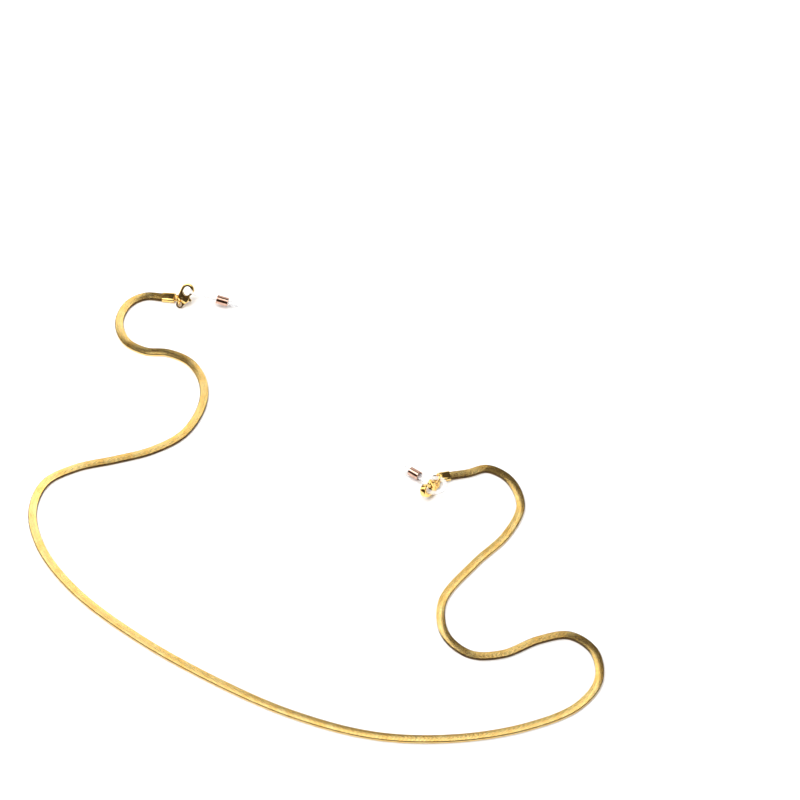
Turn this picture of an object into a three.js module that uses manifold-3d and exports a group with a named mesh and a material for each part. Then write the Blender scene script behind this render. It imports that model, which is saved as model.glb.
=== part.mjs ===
// Eyeglasses chain strap: a flat herringbone chain with an end cap, a jump ring and a lobster clasp at
// each end, and a clear silicone temple loop with a copper-toned sliding sleeve clipped into each clasp.
// Millimetres, +Z up. The strap lies on the plane z = 0; the origin is the centre of its outline there.
import * as THREE from "three";
import { mergeVertices } from "three/addons/utils/BufferGeometryUtils.js";
import Module from "manifold-3d";

const wasm = await Module();
wasm.setup();

// Chain: a flat ribbon of interlocked links, and the route of its centreline from the left cap to the right.
const chainWidth = 2.8;
const chainThickness = 1.1;
const chainEdge = 0.22; // bevel along the ribbon's edges
const chainSteps = 80;
const chainRoute = [
  [-50.8, 87.1], [-57.2, 87.6], [-62.7, 84.3], [-65.5, 76.8], [-63.1, 69.2],
  [-56.6, 65.0], [-49.0, 64.2], [-41.6, 60.3], [-37.2, 52.3], [-37.2, 42.8],
  [-43.0, 31.3], [-53.0, 24.6], [-65.0, 20.8], [-78.0, 17.4], [-87.8, 11.4],
  [-91.6, 0.3], [-88.5, -13.9], [-77.4, -30.5], [-58.0, -47.9], [-34.0, -64.1],
  [-7.0, -78.3], [20.0, -86.7], [46.0, -87.6], [69.0, -83.1], [84.5, -75.6],
  [91.4, -65.7], [90.2, -54.7], [82.5, -48.5], [72.5, -50.2], [61.0, -55.6],
  [50.5, -55.7], [42.6, -48.2], [41.7, -35.4], [52.0, -20.7], [62.5, -9.2],
  [67.3, 2.3], [63.8, 12.6], [56.6, 17.1], [50.3, 15.3], [43.8, 14.0],
];

// End cap: a folded sheet shell over the chain's end, with a flat tab and an eye.
const capLength = 4.1;
const capWidth = 3.4;
const capHeight = 1.7;
const capCorner = 0.65; // radius of the section's corners
const capEdge = 0.15; // bevel round both ends
const pocketDepth = 1.3;
const pocketClearance = 0.1;
const pocketCorner = 0.4;
const chainInset = 0.6; // how far the chain reaches into the pocket
const capRise = 0.07; // the chain already lifts this much at the point before its end
const tabThickness = 0.4;
const tabRadius = 1.15;
const tabEye = 0.75; // radius of the eye
const tabReach = 0.9; // eye centre beyond the shell's end
const tabRoot = 0.5; // how far the tab reaches into the shell

// Jump ring.
const ringRadius = 1.85; // to the wire's centre
const ringWire = 0.25; // wire radius

// Lobster clasp, in its own frame: tail eye at the origin, head towards +X, gate on the +Y side.
const claspThickness = 2.0;
const claspEdge = 0.35;
const tailRadius = 1.2;
const tailEye = 0.75;
const tailThickness = 0.75;
const hookCentre = 5.6; // x of the hook's centre
const hookOuter = 2.2;
const hookInner = 1.25;
const hookStretch = 0.7; // how much longer than round the hook's opening is
const bodyHalf = 2; // half width of the body, between tail and hook
const gateTip = 80; // where the gate ends, in degrees round the hook's centre from +X
const gateSweep = 4.5; // the hook's tip stays this far from the rivet, clear of the gate's end
const slotHalf = 0.55; // half thickness of the lever's slot
const slotTailEnd = 1.25;
const slotHookEnd = 4.2;
const slotFloor = -1.3; // y of the slot's closed side
const leverHalf = 0.42;
const gateHalf = 0.75;
const gateRoot = 3.3; // x where the gap in the hook's side starts
const pinX = 2.2;
const pinY = -0.25;
const pinRadius = 0.3;
const pinClearance = 0.06;
const leverHeel = 0.62;
const leverEdge = 0.06;
const springGap = 0.04; // the leaf's ends above the slot's floor
const springLeaf = 0.14; // the leaf's thickness

// Silicone temple loop, in its own frame: eyelet's centre at the origin, temple end towards +X.
const eyeletRadius = 3.3; // to the middle of the strand
const eyeletHalfWidth = 0.85; // across the strand, in the eyelet's plane
const eyeletHalfHeight = 0.52;
const strandRadius = 0.55; // the two strands through the sleeve
const strandOffset = 0.6; // each strand from the sleeve's axis
const templeCentre = 12.65;
const templeAlong = 1.3; // half size of the temple eye's middle line, along and across the loop
const templeAcross = 1.7;
const templeStrand = 0.65;

// Sleeve that slides on the two strands.
const sleeveLength = 4.0;
const sleeveOuter = 1.5;
const sleeveInner = 1.24;

const roundFacets = 24; // round a small cylinder
const strandFacets = 12; // round a strand or a wire
const loopFacets = 40; // along a closed loop
const throughCut = 4; // height of a cutting tool that passes right through a clasp or a tab

const gold = new THREE.MeshStandardMaterial({ color: 0xd9a441, roughness: 0.25, metalness: 1 });
const polishedGold = new THREE.MeshStandardMaterial({ color: 0xe3b04b, roughness: 0.15, metalness: 1 });
const steel = new THREE.MeshStandardMaterial({ color: 0xb9b9bd, roughness: 0.3, metalness: 1 });
const copper = new THREE.MeshStandardMaterial({ color: 0xc98363, roughness: 0.22, metalness: 1 });
const silicone = new THREE.MeshStandardMaterial({
  color: 0xf4f6f8,
  roughness: 0.15,
  metalness: 0,
  transparent: true,
  opacity: 0.35,
});

const degrees = THREE.MathUtils.degToRad;

// A closed geometry as a manifold-3d solid, and back.
function toSolid(geometry) {
  const bare = new THREE.BufferGeometry();
  bare.setAttribute("position", geometry.getAttribute("position"));
  if (geometry.index) bare.setIndex(geometry.index);
  const merged = mergeVertices(bare, 1e-4);
  return new wasm.Manifold(
    new wasm.Mesh({
      numProp: 3,
      vertProperties: new Float32Array(merged.attributes.position.array),
      triVerts: new Uint32Array(merged.index.array),
    }),
  );
}

function toGeometry(solid) {
  const mesh = solid.getMesh();
  const geometry = new THREE.BufferGeometry();
  geometry.setAttribute("position", new THREE.BufferAttribute(mesh.vertProperties, 3));
  geometry.setIndex(new THREE.BufferAttribute(mesh.triVerts, 1));
  const flat = geometry.toNonIndexed();
  flat.computeVertexNormals();
  return flat;
}

const join = (first, ...rest) => rest.reduce((sum, piece) => sum.add(toSolid(piece)), toSolid(first));
const cut = (solid, ...tools) => tools.reduce((left, tool) => left.subtract(toSolid(tool)), solid);

// A box from one corner to the other.
function block(low, high) {
  const size = high.map((value, axis) => value - low[axis]);
  const middle = high.map((value, axis) => (value + low[axis]) / 2);
  return new THREE.BoxGeometry(...size).translate(...middle);
}

// A cylinder along Z, centred on its height.
function disc(x, y, z, radius, height) {
  const turned = new THREE.CylinderGeometry(radius, radius, height, roundFacets).rotateX(Math.PI / 2);
  return turned.translate(x, y, z);
}

// A flat outline thickened to both sides of z = 0, with rounded edges.
function slab(shape, thickness, edge) {
  const geometry = new THREE.ExtrudeGeometry(shape, {
    depth: thickness - 2 * edge,
    bevelEnabled: edge > 0,
    bevelSize: edge,
    bevelOffset: -edge,
    bevelThickness: edge,
    bevelSegments: 3,
    curveSegments: 10,
  });
  return geometry.translate(0, 0, -(thickness - 2 * edge) / 2);
}

function chainGeometry() {
  const last = chainRoute.length - 1;
  const points = chainRoute.map(([x, y], i) => {
    const fromEnd = Math.min(i, last - i);
    const rise = [(capHeight - chainThickness) / 2, capRise][fromEnd] ?? 0;
    return new THREE.Vector3(x, y, chainThickness / 2 + rise);
  });
  const curve = new THREE.CatmullRomCurve3(points, false, "centripetal");
  curve.arcLengthDivisions = 2000;
  const w = chainWidth / 2;
  const t = chainThickness / 2;
  const section = new THREE.Shape([
    new THREE.Vector2(-t, -w + chainEdge),
    new THREE.Vector2(-t + chainEdge, -w),
    new THREE.Vector2(t - chainEdge, -w),
    new THREE.Vector2(t, -w + chainEdge),
    new THREE.Vector2(t, w - chainEdge),
    new THREE.Vector2(t - chainEdge, w),
    new THREE.Vector2(-t + chainEdge, w),
    new THREE.Vector2(-t, w - chainEdge),
  ]);
  return new THREE.ExtrudeGeometry(section, { steps: chainSteps, extrudePath: curve });
}

// A rectangle with round corners.
function roundedSection(width, height, corner) {
  const x = width / 2 - corner;
  const y = height / 2 - corner;
  const shape = new THREE.Shape();
  shape.absarc(x, -y, corner, -Math.PI / 2, 0);
  shape.absarc(x, y, corner, 0, Math.PI / 2);
  shape.absarc(-x, y, corner, Math.PI / 2, Math.PI);
  shape.absarc(-x, -y, corner, Math.PI, 1.5 * Math.PI);
  return shape;
}

// A section drawn in width and height, extruded along +X from one x to another.
function barAlongX(section, from, to, edge) {
  const bar = new THREE.ExtrudeGeometry(section, {
    depth: to - from - 2 * edge,
    bevelEnabled: edge > 0,
    bevelSize: edge,
    bevelOffset: -edge,
    bevelThickness: edge,
    bevelSegments: 2,
    curveSegments: 5,
  });
  return bar.rotateX(Math.PI / 2).rotateZ(Math.PI / 2).translate(from + edge, 0, 0);
}

// The cap's frame: origin under the mouth's centre, +X from the mouth towards the eye.
function capGeometry() {
  const middle = capHeight / 2;
  const shell = barAlongX(roundedSection(capWidth, capHeight, capCorner), 0, capLength, capEdge);
  const eyeX = capLength + tabReach;
  const tab = new THREE.Shape();
  tab.moveTo(capLength - tabRoot, -tabRadius);
  tab.lineTo(eyeX, -tabRadius);
  tab.absarc(eyeX, 0, tabRadius, -Math.PI / 2, Math.PI / 2);
  tab.lineTo(capLength - tabRoot, tabRadius);
  const plate = slab(tab, tabThickness, 0);
  const mouthWidth = chainWidth + 2 * pocketClearance;
  const mouthHeight = chainThickness + 2 * pocketClearance;
  const mouth = roundedSection(mouthWidth, mouthHeight, pocketCorner);
  const pocket = barAlongX(mouth, -1, pocketDepth, 0);
  const cap = cut(join(shell, plate), pocket, disc(eyeX, 0, 0, tabEye, throughCut));
  return toGeometry(cap).translate(0, 0, middle);
}

const jumpRingGeometry = () => new THREE.TorusGeometry(ringRadius, ringWire, strandFacets, loopFacets);

function claspOutline() {
  const shape = new THREE.Shape();
  shape.moveTo(0, -tailRadius);
  shape.bezierCurveTo(1.1, -tailRadius, 1.3, -bodyHalf, 2.8, -bodyHalf);
  shape.bezierCurveTo(4.0, -bodyHalf, 4.6, -hookOuter, hookCentre, -hookOuter);
  shape.absarc(hookCentre, 0, hookOuter, -Math.PI / 2, Math.PI / 2);
  shape.bezierCurveTo(4.6, hookOuter, 4.0, bodyHalf, 2.8, bodyHalf);
  shape.bezierCurveTo(1.3, bodyHalf, 1.1, tailRadius, 0, tailRadius);
  shape.absarc(0, 0, tailRadius, Math.PI / 2, 1.5 * Math.PI);
  return shape;
}

// The hook's opening, which the eyelet of a loop passes through.
const mouthTools = () => [
  disc(hookCentre, 0, 0, hookInner, throughCut),
  disc(hookCentre - hookStretch, 0, 0, hookInner, throughCut),
];

// The gap in the hook's side that the gate closes, from the body to the hook's tip.
function gateGap() {
  const shape = new THREE.Shape();
  shape.moveTo(gateRoot, 0.2);
  shape.lineTo(gateRoot, 3);
  shape.absarc(pinX, pinY, gateSweep, degrees(60), degrees(2), true);
  return slab(shape, throughCut, 0);
}

// Thins the tail on both faces, with a slope up to the full thickness.
function tailThinning(side) {
  const shape = new THREE.Shape();
  shape.moveTo(-2, tailThickness / 2);
  shape.lineTo(1.1, tailThickness / 2);
  shape.lineTo(1.8, claspThickness / 2 + 0.05);
  shape.lineTo(-2, claspThickness / 2 + 0.05);
  const wedge = new THREE.ExtrudeGeometry(shape, { depth: 6, bevelEnabled: false });
  wedge.translate(0, 0, -3).rotateX(Math.PI / 2);
  return side > 0 ? wedge : wedge.rotateX(Math.PI);
}

function claspBodyGeometry() {
  const blank = toSolid(slab(claspOutline(), claspThickness, claspEdge));
  const slot = block([slotTailEnd, slotFloor, -slotHalf], [slotHookEnd, 3, slotHalf]);
  const eye = disc(0, 0, 0, tailEye, throughCut);
  const bore = disc(pinX, pinY, 0, pinRadius + pinClearance, throughCut);
  const cuts = [...mouthTools(), gateGap(), slot, eye, bore, tailThinning(1), tailThinning(-1)];
  return toGeometry(cut(blank, ...cuts));
}

// The lever: a gate arm, a thumb tab and a round heel on the rivet.
function claspLeverGeometry() {
  const from = degrees(gateTip);
  const arm = new THREE.Shape();
  arm.absarc(hookCentre, 0, hookOuter - 0.1, from, degrees(140));
  arm.lineTo(3.55, 1.6);
  arm.lineTo(3.6, 1.05);
  arm.absarc(hookCentre, 0, hookInner + 0.12, degrees(150), from, true);
  const root = new THREE.Shape();
  root.moveTo(pinX + 0.2, pinY - leverHeel);
  root.lineTo(4.35, 0.75);
  root.lineTo(4.3, 1.5);
  root.lineTo(3.5, 1.9);
  root.lineTo(3.25, 2.6);
  root.quadraticCurveTo(2.85, 3.0, 2.5, 2.6);
  root.lineTo(2.45, 1.5);
  root.lineTo(pinX - leverHeel, pinY + 0.1);
  const heel = disc(pinX, pinY, 0, leverHeel, 2 * leverHalf);
  const plate = slab(root, 2 * leverHalf, leverEdge);
  const gate = slab(arm, 2 * gateHalf, leverEdge);
  const bore = disc(pinX, pinY, 0, pinRadius + pinClearance, throughCut);
  return toGeometry(cut(join(plate, gate, heel), ...mouthTools(), bore));
}

const claspPinGeometry = () => disc(pinX, pinY, 0, pinRadius, claspThickness - 0.1);

// A bent leaf in the slot, behind the lever's heel.
function claspSpringGeometry() {
  const leaf = new THREE.Shape();
  const low = slotFloor + springGap;
  const high = low + springLeaf;
  const bow = 0.16;
  leaf.moveTo(1.4, low);
  leaf.quadraticCurveTo(2.2, low + bow, 3.1, low);
  leaf.lineTo(3.1, high);
  leaf.quadraticCurveTo(2.2, high + bow, 1.4, high);
  return slab(leaf, 2 * leverHalf, 0);
}

function siliconeGeometry() {
  const eyelet = new THREE.TorusGeometry(eyeletRadius, eyeletHalfWidth, strandFacets, loopFacets);
  eyelet.scale(1, 1, eyeletHalfHeight / eyeletHalfWidth);
  const oval = new THREE.CatmullRomCurve3(
    new THREE.EllipseCurve(templeCentre, 0, templeAlong, templeAcross)
      .getPoints(16)
      .slice(1)
      .map(({ x, y }) => new THREE.Vector3(x, y, 0)),
    true,
  );
  const temple = new THREE.TubeGeometry(oval, loopFacets, templeStrand, strandFacets, true);
  const start = eyeletRadius;
  const end = templeCentre - templeAlong;
  const strands = [-1, 1].map((side) => {
    const rod = new THREE.CylinderGeometry(strandRadius, strandRadius, end - start, roundFacets);
    return rod.rotateZ(Math.PI / 2).translate((start + end) / 2, side * strandOffset, 0);
  });
  return toGeometry(join(eyelet, temple, ...strands));
}

function sleeveGeometry() {
  const edge = 0.12;
  const half = sleeveLength / 2;
  const profile = [
    [sleeveInner, -half],
    [sleeveOuter - edge, -half],
    [sleeveOuter, -half + edge],
    [sleeveOuter, half - edge],
    [sleeveOuter - edge, half],
    [sleeveInner, half],
    [sleeveInner, -half],
  ].map(([r, y]) => new THREE.Vector2(r, y));
  return new THREE.LatheGeometry(profile, 32).rotateZ(-Math.PI / 2);
}

// A frame that holds one or more pieces: where its origin is, which way its +X points, how far the
// +X end is raised, and its roll about +X. Angles in degrees.
function frameAt(position, heading, pitch, roll) {
  const group = new THREE.Group();
  group.position.set(...position);
  group.rotation.set(degrees(roll), -degrees(pitch), degrees(heading), "ZYX");
  return group;
}

// Where each end's pieces lie.
const ends = {
  left: {
    chainEnd: chainRoute[0],
    chainBefore: chainRoute[1],
    ring: { position: [-46.28, 85.52, 2.03], heading: 104.3, pitch: -16.2, roll: 76.4 },
    clasp: { position: [-45.44, 83.92, 1.14], heading: 50.8, pitch: 40.2, roll: 198.3 },
    silicone: { position: [-39.59, 86.28, 4.12], heading: -12.7, pitch: -10.2, roll: 132.7, sleeveAt: 8.7 },
  },
  right: {
    chainEnd: chainRoute[chainRoute.length - 1],
    chainBefore: chainRoute[chainRoute.length - 2],
    ring: { position: [40.18, 11.84, 1.95], heading: -70.0, pitch: 36.4, roll: 61.5 },
    clasp: { position: [40.0, 10.35, 1.31], heading: -131.6, pitch: 21.6, roll: 115.7 },
    silicone: { position: [39.41, 8.83, 2.89], heading: 140.1, pitch: -7.7, roll: 3.9, sleeveAt: 8.6 },
  },
};

export default (() => {
  const strap = new THREE.Group();
  const add = (group, name, geometry, material) => {
    const mesh = new THREE.Mesh(geometry, material);
    mesh.name = name;
    group.add(mesh);
  };
  add(strap, "herringbone_chain", chainGeometry(), gold);
  for (const [side, end] of Object.entries(ends)) {
    const [x, y] = end.chainEnd;
    const heading = Math.atan2(y - end.chainBefore[1], x - end.chainBefore[0]);
    const mouth = [x - chainInset * Math.cos(heading), y - chainInset * Math.sin(heading), 0];
    const cap = frameAt(mouth, THREE.MathUtils.radToDeg(heading), 0, 0);
    const ring = frameAt(end.ring.position, end.ring.heading, end.ring.pitch, end.ring.roll);
    const clasp = frameAt(end.clasp.position, end.clasp.heading, end.clasp.pitch, end.clasp.roll);
    const { position, heading: away, pitch, roll, sleeveAt } = end.silicone;
    const loop = frameAt(position, away, pitch, roll);
    add(cap, `end_cap_${side}`, capGeometry(), polishedGold);
    add(ring, `jump_ring_${side}`, jumpRingGeometry(), polishedGold);
    add(clasp, `clasp_body_${side}`, claspBodyGeometry(), polishedGold);
    add(clasp, `clasp_lever_${side}`, claspLeverGeometry(), polishedGold);
    add(clasp, `clasp_pin_${side}`, claspPinGeometry(), polishedGold);
    add(clasp, `clasp_spring_${side}`, claspSpringGeometry(), steel);
    add(loop, `silicone_loop_${side}`, siliconeGeometry(), silicone);
    add(loop, `copper_sleeve_${side}`, sleeveGeometry().translate(sleeveAt, 0, 0), copper);
    strap.add(cap, ring, clasp, loop);
  }
  return strap;
})();
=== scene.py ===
"""Looks for the eyeglasses chain strap: a flat herringbone chain built link by link, gold hardware,
clear silicone temple loops and copper-toned sleeves, on a pale surface. Metres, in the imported
part's own frame: +Z up, the strap lying on z = 0."""

import math

import bmesh
import bpy
import numpy as np
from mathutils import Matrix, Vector


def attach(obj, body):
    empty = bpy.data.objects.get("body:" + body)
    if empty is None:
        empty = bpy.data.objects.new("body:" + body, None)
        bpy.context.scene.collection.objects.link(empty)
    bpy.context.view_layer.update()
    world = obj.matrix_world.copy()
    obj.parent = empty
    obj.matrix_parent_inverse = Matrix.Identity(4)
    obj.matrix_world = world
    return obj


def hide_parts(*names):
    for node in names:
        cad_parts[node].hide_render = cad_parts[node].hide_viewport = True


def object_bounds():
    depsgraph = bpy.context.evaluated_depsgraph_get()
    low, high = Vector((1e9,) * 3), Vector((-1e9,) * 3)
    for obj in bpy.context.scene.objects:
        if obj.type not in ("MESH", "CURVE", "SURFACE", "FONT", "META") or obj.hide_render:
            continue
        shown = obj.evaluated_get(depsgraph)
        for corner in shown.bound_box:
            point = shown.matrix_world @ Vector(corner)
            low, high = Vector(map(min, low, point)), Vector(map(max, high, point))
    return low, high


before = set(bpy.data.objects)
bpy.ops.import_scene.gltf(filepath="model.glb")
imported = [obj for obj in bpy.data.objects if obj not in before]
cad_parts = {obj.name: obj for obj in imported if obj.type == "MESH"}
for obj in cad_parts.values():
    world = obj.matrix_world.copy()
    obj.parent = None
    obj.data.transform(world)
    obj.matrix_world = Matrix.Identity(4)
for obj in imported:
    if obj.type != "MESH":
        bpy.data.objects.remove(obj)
CAD_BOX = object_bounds()

MM = 0.001
SIDES = ("left", "right")

# ---------------------------------------------------------------- camera
TARGET = Vector((28, 45.3, 0)) * MM  # the point on the surface that the camera looks at
CAMERA_DISTANCE = 2.0
CAMERA_ELEVATION = math.radians(54)
LENS = 272.7  # mm, on the standard 36 mm sensor


def make_camera():
    """A long lens at the photograph's viewing angle."""
    camera = bpy.data.objects.new("camera", bpy.data.cameras.new("camera"))
    bpy.context.scene.collection.objects.link(camera)
    back = Vector((0, -math.cos(CAMERA_ELEVATION), math.sin(CAMERA_ELEVATION)))
    camera.location = TARGET + CAMERA_DISTANCE * back
    camera.rotation_mode = "QUATERNION"
    camera.rotation_quaternion = (-back).to_track_quat("-Z", "Y")
    camera.data.lens = LENS
    camera.data.clip_start = 0.05
    camera.data.clip_end = 20
    bpy.context.scene.camera = camera


# ---------------------------------------------------------------- materials
GOLD = (0.99, 0.62, 0.17)
GOLD_PALE = (1.0, 0.75, 0.31)
# Near-black gold for the chain's side walls and link ends: painted shade, standing in for the
# shadow those sides see.
GOLD_SHADOW = (0.05, 0.025, 0.006)
GOLD_SHADOW_PALE = (0.16, 0.09, 0.025)
STEEL = (0.55, 0.55, 0.56)
COPPER = (0.55, 0.32, 0.23)
COPPER_PALE = (0.74, 0.50, 0.40)
CLEAR = (0.96, 0.97, 0.99)
WHITE = (1.0, 1.0, 1.0)
STEEL_PALE = (0.72, 0.72, 0.74)
FLOOR = (0.93, 0.93, 0.93)
FLOOR_PALE = (0.95, 0.95, 0.95)
WORLD_TINT = (1.0, 0.82, 0.66)

# How rough each metal is, and how deep its scratches look.
CHAIN_ROUGHNESS = 0.18
CHAIN_SIDE_ROUGHNESS = 0.35
HARDWARE_ROUGHNESS = 0.14
STEEL_ROUGHNESS = 0.25
COPPER_ROUGHNESS = 0.12
CHAIN_SCRATCH = 0.03
HARDWARE_SCRATCH = 0.05
POLISH_LOW, POLISH_HIGH = 0.8, 1.2  # how far uneven polish takes the roughness either way
HAIRLINE_DETAIL = 2.0
HAIRLINE_STRETCH = (1, 1, 6)
SILICONE_ROUGHNESS = (0.22, 0.36)
SILICONE_BUMP = 0.02

# Noise scales, in cells per metre.
METAL_TONE_SCALE = 300
METAL_POLISH_SCALE = 900
METAL_SCRATCH_SCALE = 4200
METAL_SCRATCH_DEPTH = 0.01 * MM
SILICONE_TONE_SCALE = 260
SILICONE_POLISH_SCALE = 1500
SILICONE_BUMP_SCALE = 1900
SILICONE_BUMP_DEPTH = 0.03 * MM
FLOOR_TONE_SCALE = 35


class Surface:
    """A Principled material with helpers for the procedural nodes that feed it."""

    def __init__(self, name):
        self.material = bpy.data.materials.new(name)
        self.material.use_nodes = True
        self.nodes = self.material.node_tree.nodes
        self.links = self.material.node_tree.links
        self.shader = self.nodes["Principled BSDF"]

    def set(self, **values):
        for key, value in values.items():
            self.shader.inputs[key.replace("_", " ")].default_value = value

    def noise(self, scale, detail=4.0, stretch=(1, 1, 1)):
        coordinates = self.nodes.new("ShaderNodeTexCoord")
        mapping = self.nodes.new("ShaderNodeMapping")
        mapping.inputs["Scale"].default_value = stretch
        texture = self.nodes.new("ShaderNodeTexNoise")
        texture.inputs["Scale"].default_value = scale
        texture.inputs["Detail"].default_value = detail
        self.links.new(coordinates.outputs["Object"], mapping.inputs["Vector"])
        self.links.new(mapping.outputs["Vector"], texture.inputs["Vector"])
        return texture.outputs["Fac"]

    def ramp(self, source, low, high, start=0.3, end=0.7):
        ramp = self.nodes.new("ShaderNodeValToRGB")
        ramp.color_ramp.elements[0].position = start
        ramp.color_ramp.elements[0].color = (*low, 1)
        ramp.color_ramp.elements[1].position = end
        ramp.color_ramp.elements[1].color = (*high, 1)
        self.links.new(source, ramp.inputs["Fac"])
        return ramp.outputs["Color"]

    def span(self, source, low, high):
        mapped = self.nodes.new("ShaderNodeMapRange")
        mapped.inputs["To Min"].default_value = low
        mapped.inputs["To Max"].default_value = high
        self.links.new(source, mapped.inputs["Value"])
        return mapped.outputs["Result"]

    def feed(self, source, socket):
        self.links.new(source, self.shader.inputs[socket])

    def bump(self, source, strength, distance):
        bump = self.nodes.new("ShaderNodeBump")
        bump.inputs["Strength"].default_value = strength
        bump.inputs["Distance"].default_value = distance
        self.links.new(source, bump.inputs["Height"])
        self.links.new(bump.outputs["Normal"], self.shader.inputs["Normal"])


def metal(name, dark, pale, roughness, scratch=HARDWARE_SCRATCH):
    """Polished metal: two close tones, uneven polish and hairline scratches."""
    surface = Surface(name)
    surface.set(Metallic=1.0)
    surface.feed(surface.ramp(surface.noise(METAL_TONE_SCALE), dark, pale), "Base Color")
    polish = surface.noise(METAL_POLISH_SCALE)
    uneven = surface.span(polish, roughness * POLISH_LOW, roughness * POLISH_HIGH)
    surface.feed(uneven, "Roughness")
    hairlines = surface.noise(METAL_SCRATCH_SCALE, HAIRLINE_DETAIL, HAIRLINE_STRETCH)
    surface.bump(hairlines, scratch, METAL_SCRATCH_DEPTH)
    return surface.material


def clear_silicone():
    """Clear rubber with a little white haze, which lets much of the light straight through."""
    surface = Surface("clear_silicone")
    surface.set(Transmission_Weight=0.35, IOR=1.2, Specular_IOR_Level=0.35, Alpha=0.55)
    surface.feed(surface.ramp(surface.noise(SILICONE_TONE_SCALE), CLEAR, WHITE), "Base Color")
    polish = surface.noise(SILICONE_POLISH_SCALE)
    surface.feed(surface.span(polish, *SILICONE_ROUGHNESS), "Roughness")
    surface.bump(surface.noise(SILICONE_BUMP_SCALE), SILICONE_BUMP, SILICONE_BUMP_DEPTH)
    return surface.material


def pale_surface():
    """The floor: matt and nearly white, in two close tones."""
    surface = Surface("pale_surface")
    surface.set(Roughness=0.75, Specular_IOR_Level=0.2)
    surface.feed(surface.ramp(surface.noise(FLOOR_TONE_SCALE), FLOOR, FLOOR_PALE), "Base Color")
    return surface.material


# ---------------------------------------------------------------- the chain's route
CHAIN_THICKNESS = 1.1 * MM
CHAIN_WIDTH = 2.8 * MM
CAP_HEIGHT = 1.7 * MM  # the chain's ends rise to the middle of their caps
CAP_APPROACH_RISE = 0.07 * MM  # how far the chain has risen one point before its end
ROUTE_STEPS = 240  # points on the smooth line for each stretch of the route
TANGENT_STEP = 0.1 * MM
CHAIN_ROUTE_MM = [
    (-50.8, 87.1), (-57.2, 87.6), (-62.7, 84.3), (-65.5, 76.8), (-63.1, 69.2),
    (-56.6, 65.0), (-49.0, 64.2), (-41.6, 60.3), (-37.2, 52.3), (-37.2, 42.8),
    (-43.0, 31.3), (-53.0, 24.6), (-65.0, 20.8), (-78.0, 17.4), (-87.8, 11.4),
    (-91.6, 0.3), (-88.5, -13.9), (-77.4, -30.5), (-58.0, -47.9), (-34.0, -64.1),
    (-7.0, -78.3), (20.0, -86.7), (46.0, -87.6), (69.0, -83.1), (84.5, -75.6),
    (91.4, -65.7), (90.2, -54.7), (82.5, -48.5), (72.5, -50.2), (61.0, -55.6),
    (50.5, -55.7), (42.6, -48.2), (41.7, -35.4), (52.0, -20.7), (62.5, -9.2),
    (67.3, 2.3), (63.8, 12.6), (56.6, 17.1), (50.3, 15.3), (43.8, 14.0),
]


def route_points():
    """The route's points in the frame: flat on the surface, rising a little into the caps."""
    last = len(CHAIN_ROUTE_MM) - 1
    ends = [(CAP_HEIGHT - CHAIN_THICKNESS) / 2, CAP_APPROACH_RISE]
    points = []
    for i, (x, y) in enumerate(CHAIN_ROUTE_MM):
        from_end = min(i, last - i)
        rise = ends[from_end] if from_end < len(ends) else 0
        points.append((x * MM, y * MM, CHAIN_THICKNESS / 2 + rise))
    return np.array(points)


def smooth_line(points, steps):
    """A centripetal Catmull-Rom curve through the points."""
    first = 2 * points[0] - points[1]
    last = 2 * points[-1] - points[-2]
    padded = np.vstack([first, points, last])
    t = np.linspace(0, 1, steps, endpoint=False)[:, None]
    line = []
    for i in range(len(points) - 1):
        p0, p1, p2, p3 = padded[i : i + 4]
        d0, d1, d2 = (math.sqrt(np.linalg.norm(b - a)) for a, b in ((p0, p1), (p1, p2), (p2, p3)))
        t1 = ((p1 - p0) / d0 - (p2 - p0) / (d0 + d1) + (p2 - p1) / d1) * d1
        t2 = ((p2 - p1) / d1 - (p3 - p1) / (d1 + d2) + (p3 - p2) / d2) * d1
        cubic = 2 * p1 - 2 * p2 + t1 + t2
        square = -3 * p1 + 3 * p2 - 2 * t1 - t2
        line.append(p1 + t * t1 + t**2 * square + t**3 * cubic)
    return np.vstack([*line, points[-1:]])


class Route:
    """The chain's centreline, read by the distance along it."""

    def __init__(self, points):
        self.line = smooth_line(points, ROUTE_STEPS)
        steps = np.linalg.norm(np.diff(self.line, axis=0), axis=1)
        self.along = np.concatenate([[0], np.cumsum(steps)])
        self.length = float(self.along[-1])

    def at(self, distance):
        axes = [np.interp(distance, self.along, self.line[:, k]) for k in range(3)]
        return np.stack(axes, axis=-1)

    def frames(self, distance):
        """Tangent, sideways and up directions."""
        tangent = self.at(distance + TANGENT_STEP) - self.at(distance - TANGENT_STEP)
        tangent /= np.linalg.norm(tangent, axis=-1, keepdims=True)
        sideways = np.cross([0, 0, 1], tangent)
        sideways /= np.linalg.norm(sideways, axis=-1, keepdims=True)
        return tangent, sideways, np.cross(tangent, sideways)


# ---------------------------------------------------------------- herringbone links
LINK_PITCH = 0.42 * MM
LINK_LENGTH = 0.40 * MM
CHEVRON = 0.45 * MM  # how far a link's edges run ahead of its middle
LINK_CROWN = 0.024 * MM  # how far a link's ends drop below its middle
RIBBON_DOME = 0.02 * MM  # how far the ribbon's top falls from its middle to its shoulders
STATIONS = (-1, -0.5, 0, 0.5, 1)  # along half a link's length
SIDE_WALLS = (2, 8)  # the section's two upright stretches, counted from the lower middle
TOP_SLOT, PAINTED_SHADE_SLOT = 0, 1  # the chain's two materials; the second is near-black gold, painted shade for the side walls and link ends
SHOULDER = 0.86  # where the ribbon's top ends, as a share of half its width
DOME_SIDE = 0.45  # a point of the top between its middle and its shoulder
DOME_SIDE_FALL = 0.3  # and how far it has fallen there, as a share of the dome
LOWER_CORNER = 0.15 * MM
UPPER_CORNER = 0.2 * MM
LINK_SHARP_ANGLE = math.radians(38)


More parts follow.
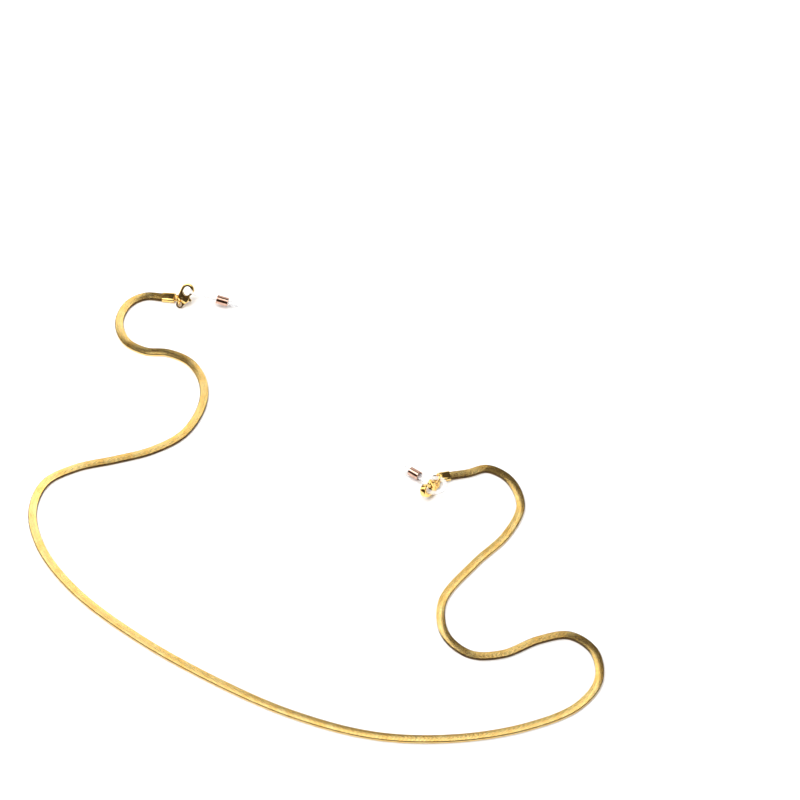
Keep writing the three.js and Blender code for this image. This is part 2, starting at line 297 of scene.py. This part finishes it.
def link_section():
    """Across and up offsets round one link, starting at the lower middle."""
    w, t = CHAIN_WIDTH / 2, CHAIN_THICKNESS / 2
    shoulder = SHOULDER * w
    right = [
        (0, -t),
        (w - LOWER_CORNER, -t),
        (w, -t + LOWER_CORNER),
        (w, t - RIBBON_DOME - UPPER_CORNER),
        (shoulder, t - RIBBON_DOME),
        (DOME_SIDE * w, t - DOME_SIDE_FALL * RIBBON_DOME),
    ]
    left = [(-across, up) for across, up in reversed(right[1:])]
    return np.array([*right, (0, t), *left])


def link_faces(count, around):
    """Every link's faces, and which material each has: walls all round, then both ends. The side
    walls and both ends take the near-black gold that paints their shade.
    """
    faces, slots = [], []
    stations = len(STATIONS)
    for link in range(count):
        base = link * around * stations
        for s in range(stations - 1):
            for k in range(around):
                a = base + s * around + k
                b = base + s * around + (k + 1) % around
                faces.append((a, b, b + around, a + around))
                slots.append(PAINTED_SHADE_SLOT if k in SIDE_WALLS else TOP_SLOT)
        faces.append(tuple(base + k for k in reversed(range(around))))
        faces.append(tuple(base + (stations - 1) * around + k for k in range(around)))
        slots += [PAINTED_SHADE_SLOT, PAINTED_SHADE_SLOT]
    return faces, slots


def build_links(route):
    """The whole chain's mesh: closed links along the route, each a chevron seen from above."""
    section = link_section()
    half = LINK_LENGTH / 2
    ahead = CHEVRON * np.abs(section[:, 0]) / (CHAIN_WIDTH / 2)
    start, end = half, route.length - half - CHEVRON
    count = int((end - start) / LINK_PITCH) + 1
    centres = np.linspace(start, end, count)
    along = np.concatenate([half * s + ahead for s in STATIONS])
    shrink = [LINK_CROWN * s * s for s in STATIONS]
    across = np.concatenate([section[:, 0] * (1 - drop / CHAIN_WIDTH) for drop in shrink])
    up = np.concatenate([section[:, 1] * (1 - 2 * drop / CHAIN_THICKNESS) for drop in shrink])
    distance = centres[:, None] + along[None, :]
    _, sideways, upwards = route.frames(distance)
    vertices = route.at(distance) + across[None, :, None] * sideways + up[None, :, None] * upwards
    faces, slots = link_faces(count, len(section))
    mesh = bpy.data.meshes.new("herringbone_links")
    mesh.from_pydata(vertices.reshape(-1, 3).tolist(), [], faces)
    mesh.polygons.foreach_set("material_index", slots)
    mesh.update()
    mesh.shade_smooth()
    mesh.set_sharp_from_angle(angle=LINK_SHARP_ANGLE)
    return mesh


def make_chain():
    """The chain, built link by link along its route."""
    route = Route(route_points())
    mesh = build_links(route)
    top = metal("chain_gold", GOLD, GOLD_PALE, CHAIN_ROUGHNESS, CHAIN_SCRATCH)
    # The side walls and link ends take near-black gold: painted shade, where the sides see only
    # shadow.
    side = metal(
        "chain_gold_painted_shade", GOLD_SHADOW, GOLD_SHADOW_PALE, CHAIN_SIDE_ROUGHNESS, CHAIN_SCRATCH
    )
    mesh.materials.append(top)
    mesh.materials.append(side)
    chain = bpy.data.objects.new("herringbone_links", mesh)
    bpy.context.scene.collection.objects.link(chain)
    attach(chain, "chain")
    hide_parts("herringbone_chain")
    return chain


# ---------------------------------------------------------------- hardware
SOFT_INSET = 0.04 * MM  # how far silicone gives where a harder piece leans on it
CAP_EDGE = 0.04 * MM  # rounding along edges
SMALL_EDGE = 0.05 * MM
CLASP_ANGLE = 40  # degrees
LOOP_ANGLE = 60
MERGE_DISTANCE = 1e-7
FLAT_ANGLE = math.radians(1)


def smooth_copy(node, body, material, edge=0.0, angle=35, inset=0.0):
    """A finer copy of a CAD node, smoothly shaded apart from edges sharper than angle degrees.

    Those edges are rounded by edge. A soft piece's surface is drawn in by inset, so that a
    harder piece can lean on it.
    """
    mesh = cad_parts[node].data.copy()
    mesh.name = node + "_smooth"
    work = bmesh.new()
    work.from_mesh(mesh)
    bmesh.ops.remove_doubles(work, verts=work.verts, dist=MERGE_DISTANCE)
    bmesh.ops.dissolve_limit(work, angle_limit=FLAT_ANGLE, verts=work.verts, edges=work.edges)
    work.normal_update()
    for vertex in work.verts:
        vertex.co -= inset * vertex.normal
    work.to_mesh(mesh)
    work.free()
    mesh.shade_smooth()
    mesh.set_sharp_from_angle(angle=math.radians(angle))
    mesh.materials.clear()
    mesh.materials.append(material)
    piece = bpy.data.objects.new(node + "_shown", mesh)
    bpy.context.scene.collection.objects.link(piece)
    if edge:
        bevel = piece.modifiers.new("edges", "BEVEL")
        bevel.width = edge
        bevel.segments = 2
        bevel.limit_method = "ANGLE"
        bevel.angle_limit = math.radians(angle)
        bevel.harden_normals = True
    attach(piece, body)
    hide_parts(node)
    return piece


def make_hardware():
    """Both ends' caps, rings, clasps, temple loops and sleeves, each on its own body."""
    gold = metal("hardware_gold", GOLD, GOLD_PALE, HARDWARE_ROUGHNESS)
    steel = metal("spring_steel", STEEL, STEEL_PALE, STEEL_ROUGHNESS)
    copper = metal("sleeve_copper", COPPER, COPPER_PALE, COPPER_ROUGHNESS)
    silicone = clear_silicone()
    for side in SIDES:
        ring, clasp, lever = f"jump_ring_{side}", f"clasp_{side}", f"lever_{side}"
        loop = f"silicone_loop_{side}"
        smooth_copy(f"end_cap_{side}", "chain", gold, CAP_EDGE)
        smooth_copy(ring, ring, gold)
        smooth_copy(f"clasp_body_{side}", clasp, gold, angle=CLASP_ANGLE)
        smooth_copy(f"clasp_lever_{side}", lever, gold, angle=CLASP_ANGLE)
        smooth_copy(f"clasp_pin_{side}", clasp, gold, SMALL_EDGE)
        smooth_copy(f"clasp_spring_{side}", clasp, steel)
        smooth_copy(loop, loop, silicone, angle=LOOP_ANGLE, inset=SOFT_INSET)
        smooth_copy(f"copper_sleeve_{side}", f"sleeve_{side}", copper, SMALL_EDGE)


# ---------------------------------------------------------------- surroundings
FLOOR_SIZE = 6  # metres
WORLD_STRENGTH = 0.06

# Soft lights that the gold mirrors: name, size, place, the point it faces, and watts.
PANELS = [
    ("softbox", (0.7, 0.77), (-0.31, 0.01, 0.8), (-0.31, 0.01, 0), 3.3),
    ("softbox_back", (0.58, 0.19), (-0.37, 0.49, 0.8), (-0.37, 0.49, 0), 0.66),
    ("middle_strip", (0.12, 0.3), (0.06, 0.21, 0.79), (0.06, 0.21, 0), 0.25),
    ("key", (0.48, 0.25), (0.06, 0, 0.79), (0.06, 0, 0), 1.1),
    ("left_window", (0.22, 0.72), (-0.35, 0.15, 0.25), (0, 0.05, 0), 0.95),
    ("back_window", (0.42, 0.22), (-0.04, 0.47, 0.22), (0, 0, 0), 0.38),
]

# Lights that no glossy surface mirrors, chiefly for the pale floor: name and place.
FILLS = {"fill_left": (-0.9, -0.5), "fill_right": (1.0, -0.4), "fill_back": (0.3, 1.0)}
FILL_SIZE = (0.6, 0.6)
FILL_HEIGHT = 1.3
FILL_POWER = 8


def panel(name, size, location, target, power):
    """A rectangular soft light that faces the target."""
    light = bpy.data.lights.new(name, "AREA")
    light.shape = "RECTANGLE"
    light.size, light.size_y = size
    light.energy = power
    made = bpy.data.objects.new(name, light)
    bpy.context.scene.collection.objects.link(made)
    made.location = location
    made.visible_camera = False
    made.rotation_mode = "QUATERNION"
    made.rotation_quaternion = (Vector(target) - Vector(location)).to_track_quat("-Z", "Y")
    return made


def studio_world():
    """Even, dim, slightly warm light from every side."""
    world = bpy.data.worlds.new("studio")
    world.use_nodes = True
    background = world.node_tree.nodes["Background"]
    background.inputs["Color"].default_value = (*WORLD_TINT, 1)
    background.inputs["Strength"].default_value = WORLD_STRENGTH
    bpy.context.scene.world = world
    bpy.context.scene.view_settings.view_transform = "Standard"


def make_surroundings():
    """The floor, the world and the lights."""
    bpy.ops.mesh.primitive_plane_add(size=FLOOR_SIZE)
    floor = bpy.context.object
    floor.name = "floor"
    floor.location.z = CAD_BOX[0].z
    floor.data.materials.append(pale_surface())
    studio_world()
    for light in PANELS:
        panel(*light)
    for name, (x, y) in FILLS.items():
        fill = panel(name, FILL_SIZE, (x, y, FILL_HEIGHT), (0, 0, 0), FILL_POWER)
        fill.visible_glossy = False


make_camera()
make_chain()
make_hardware()
make_surroundings()
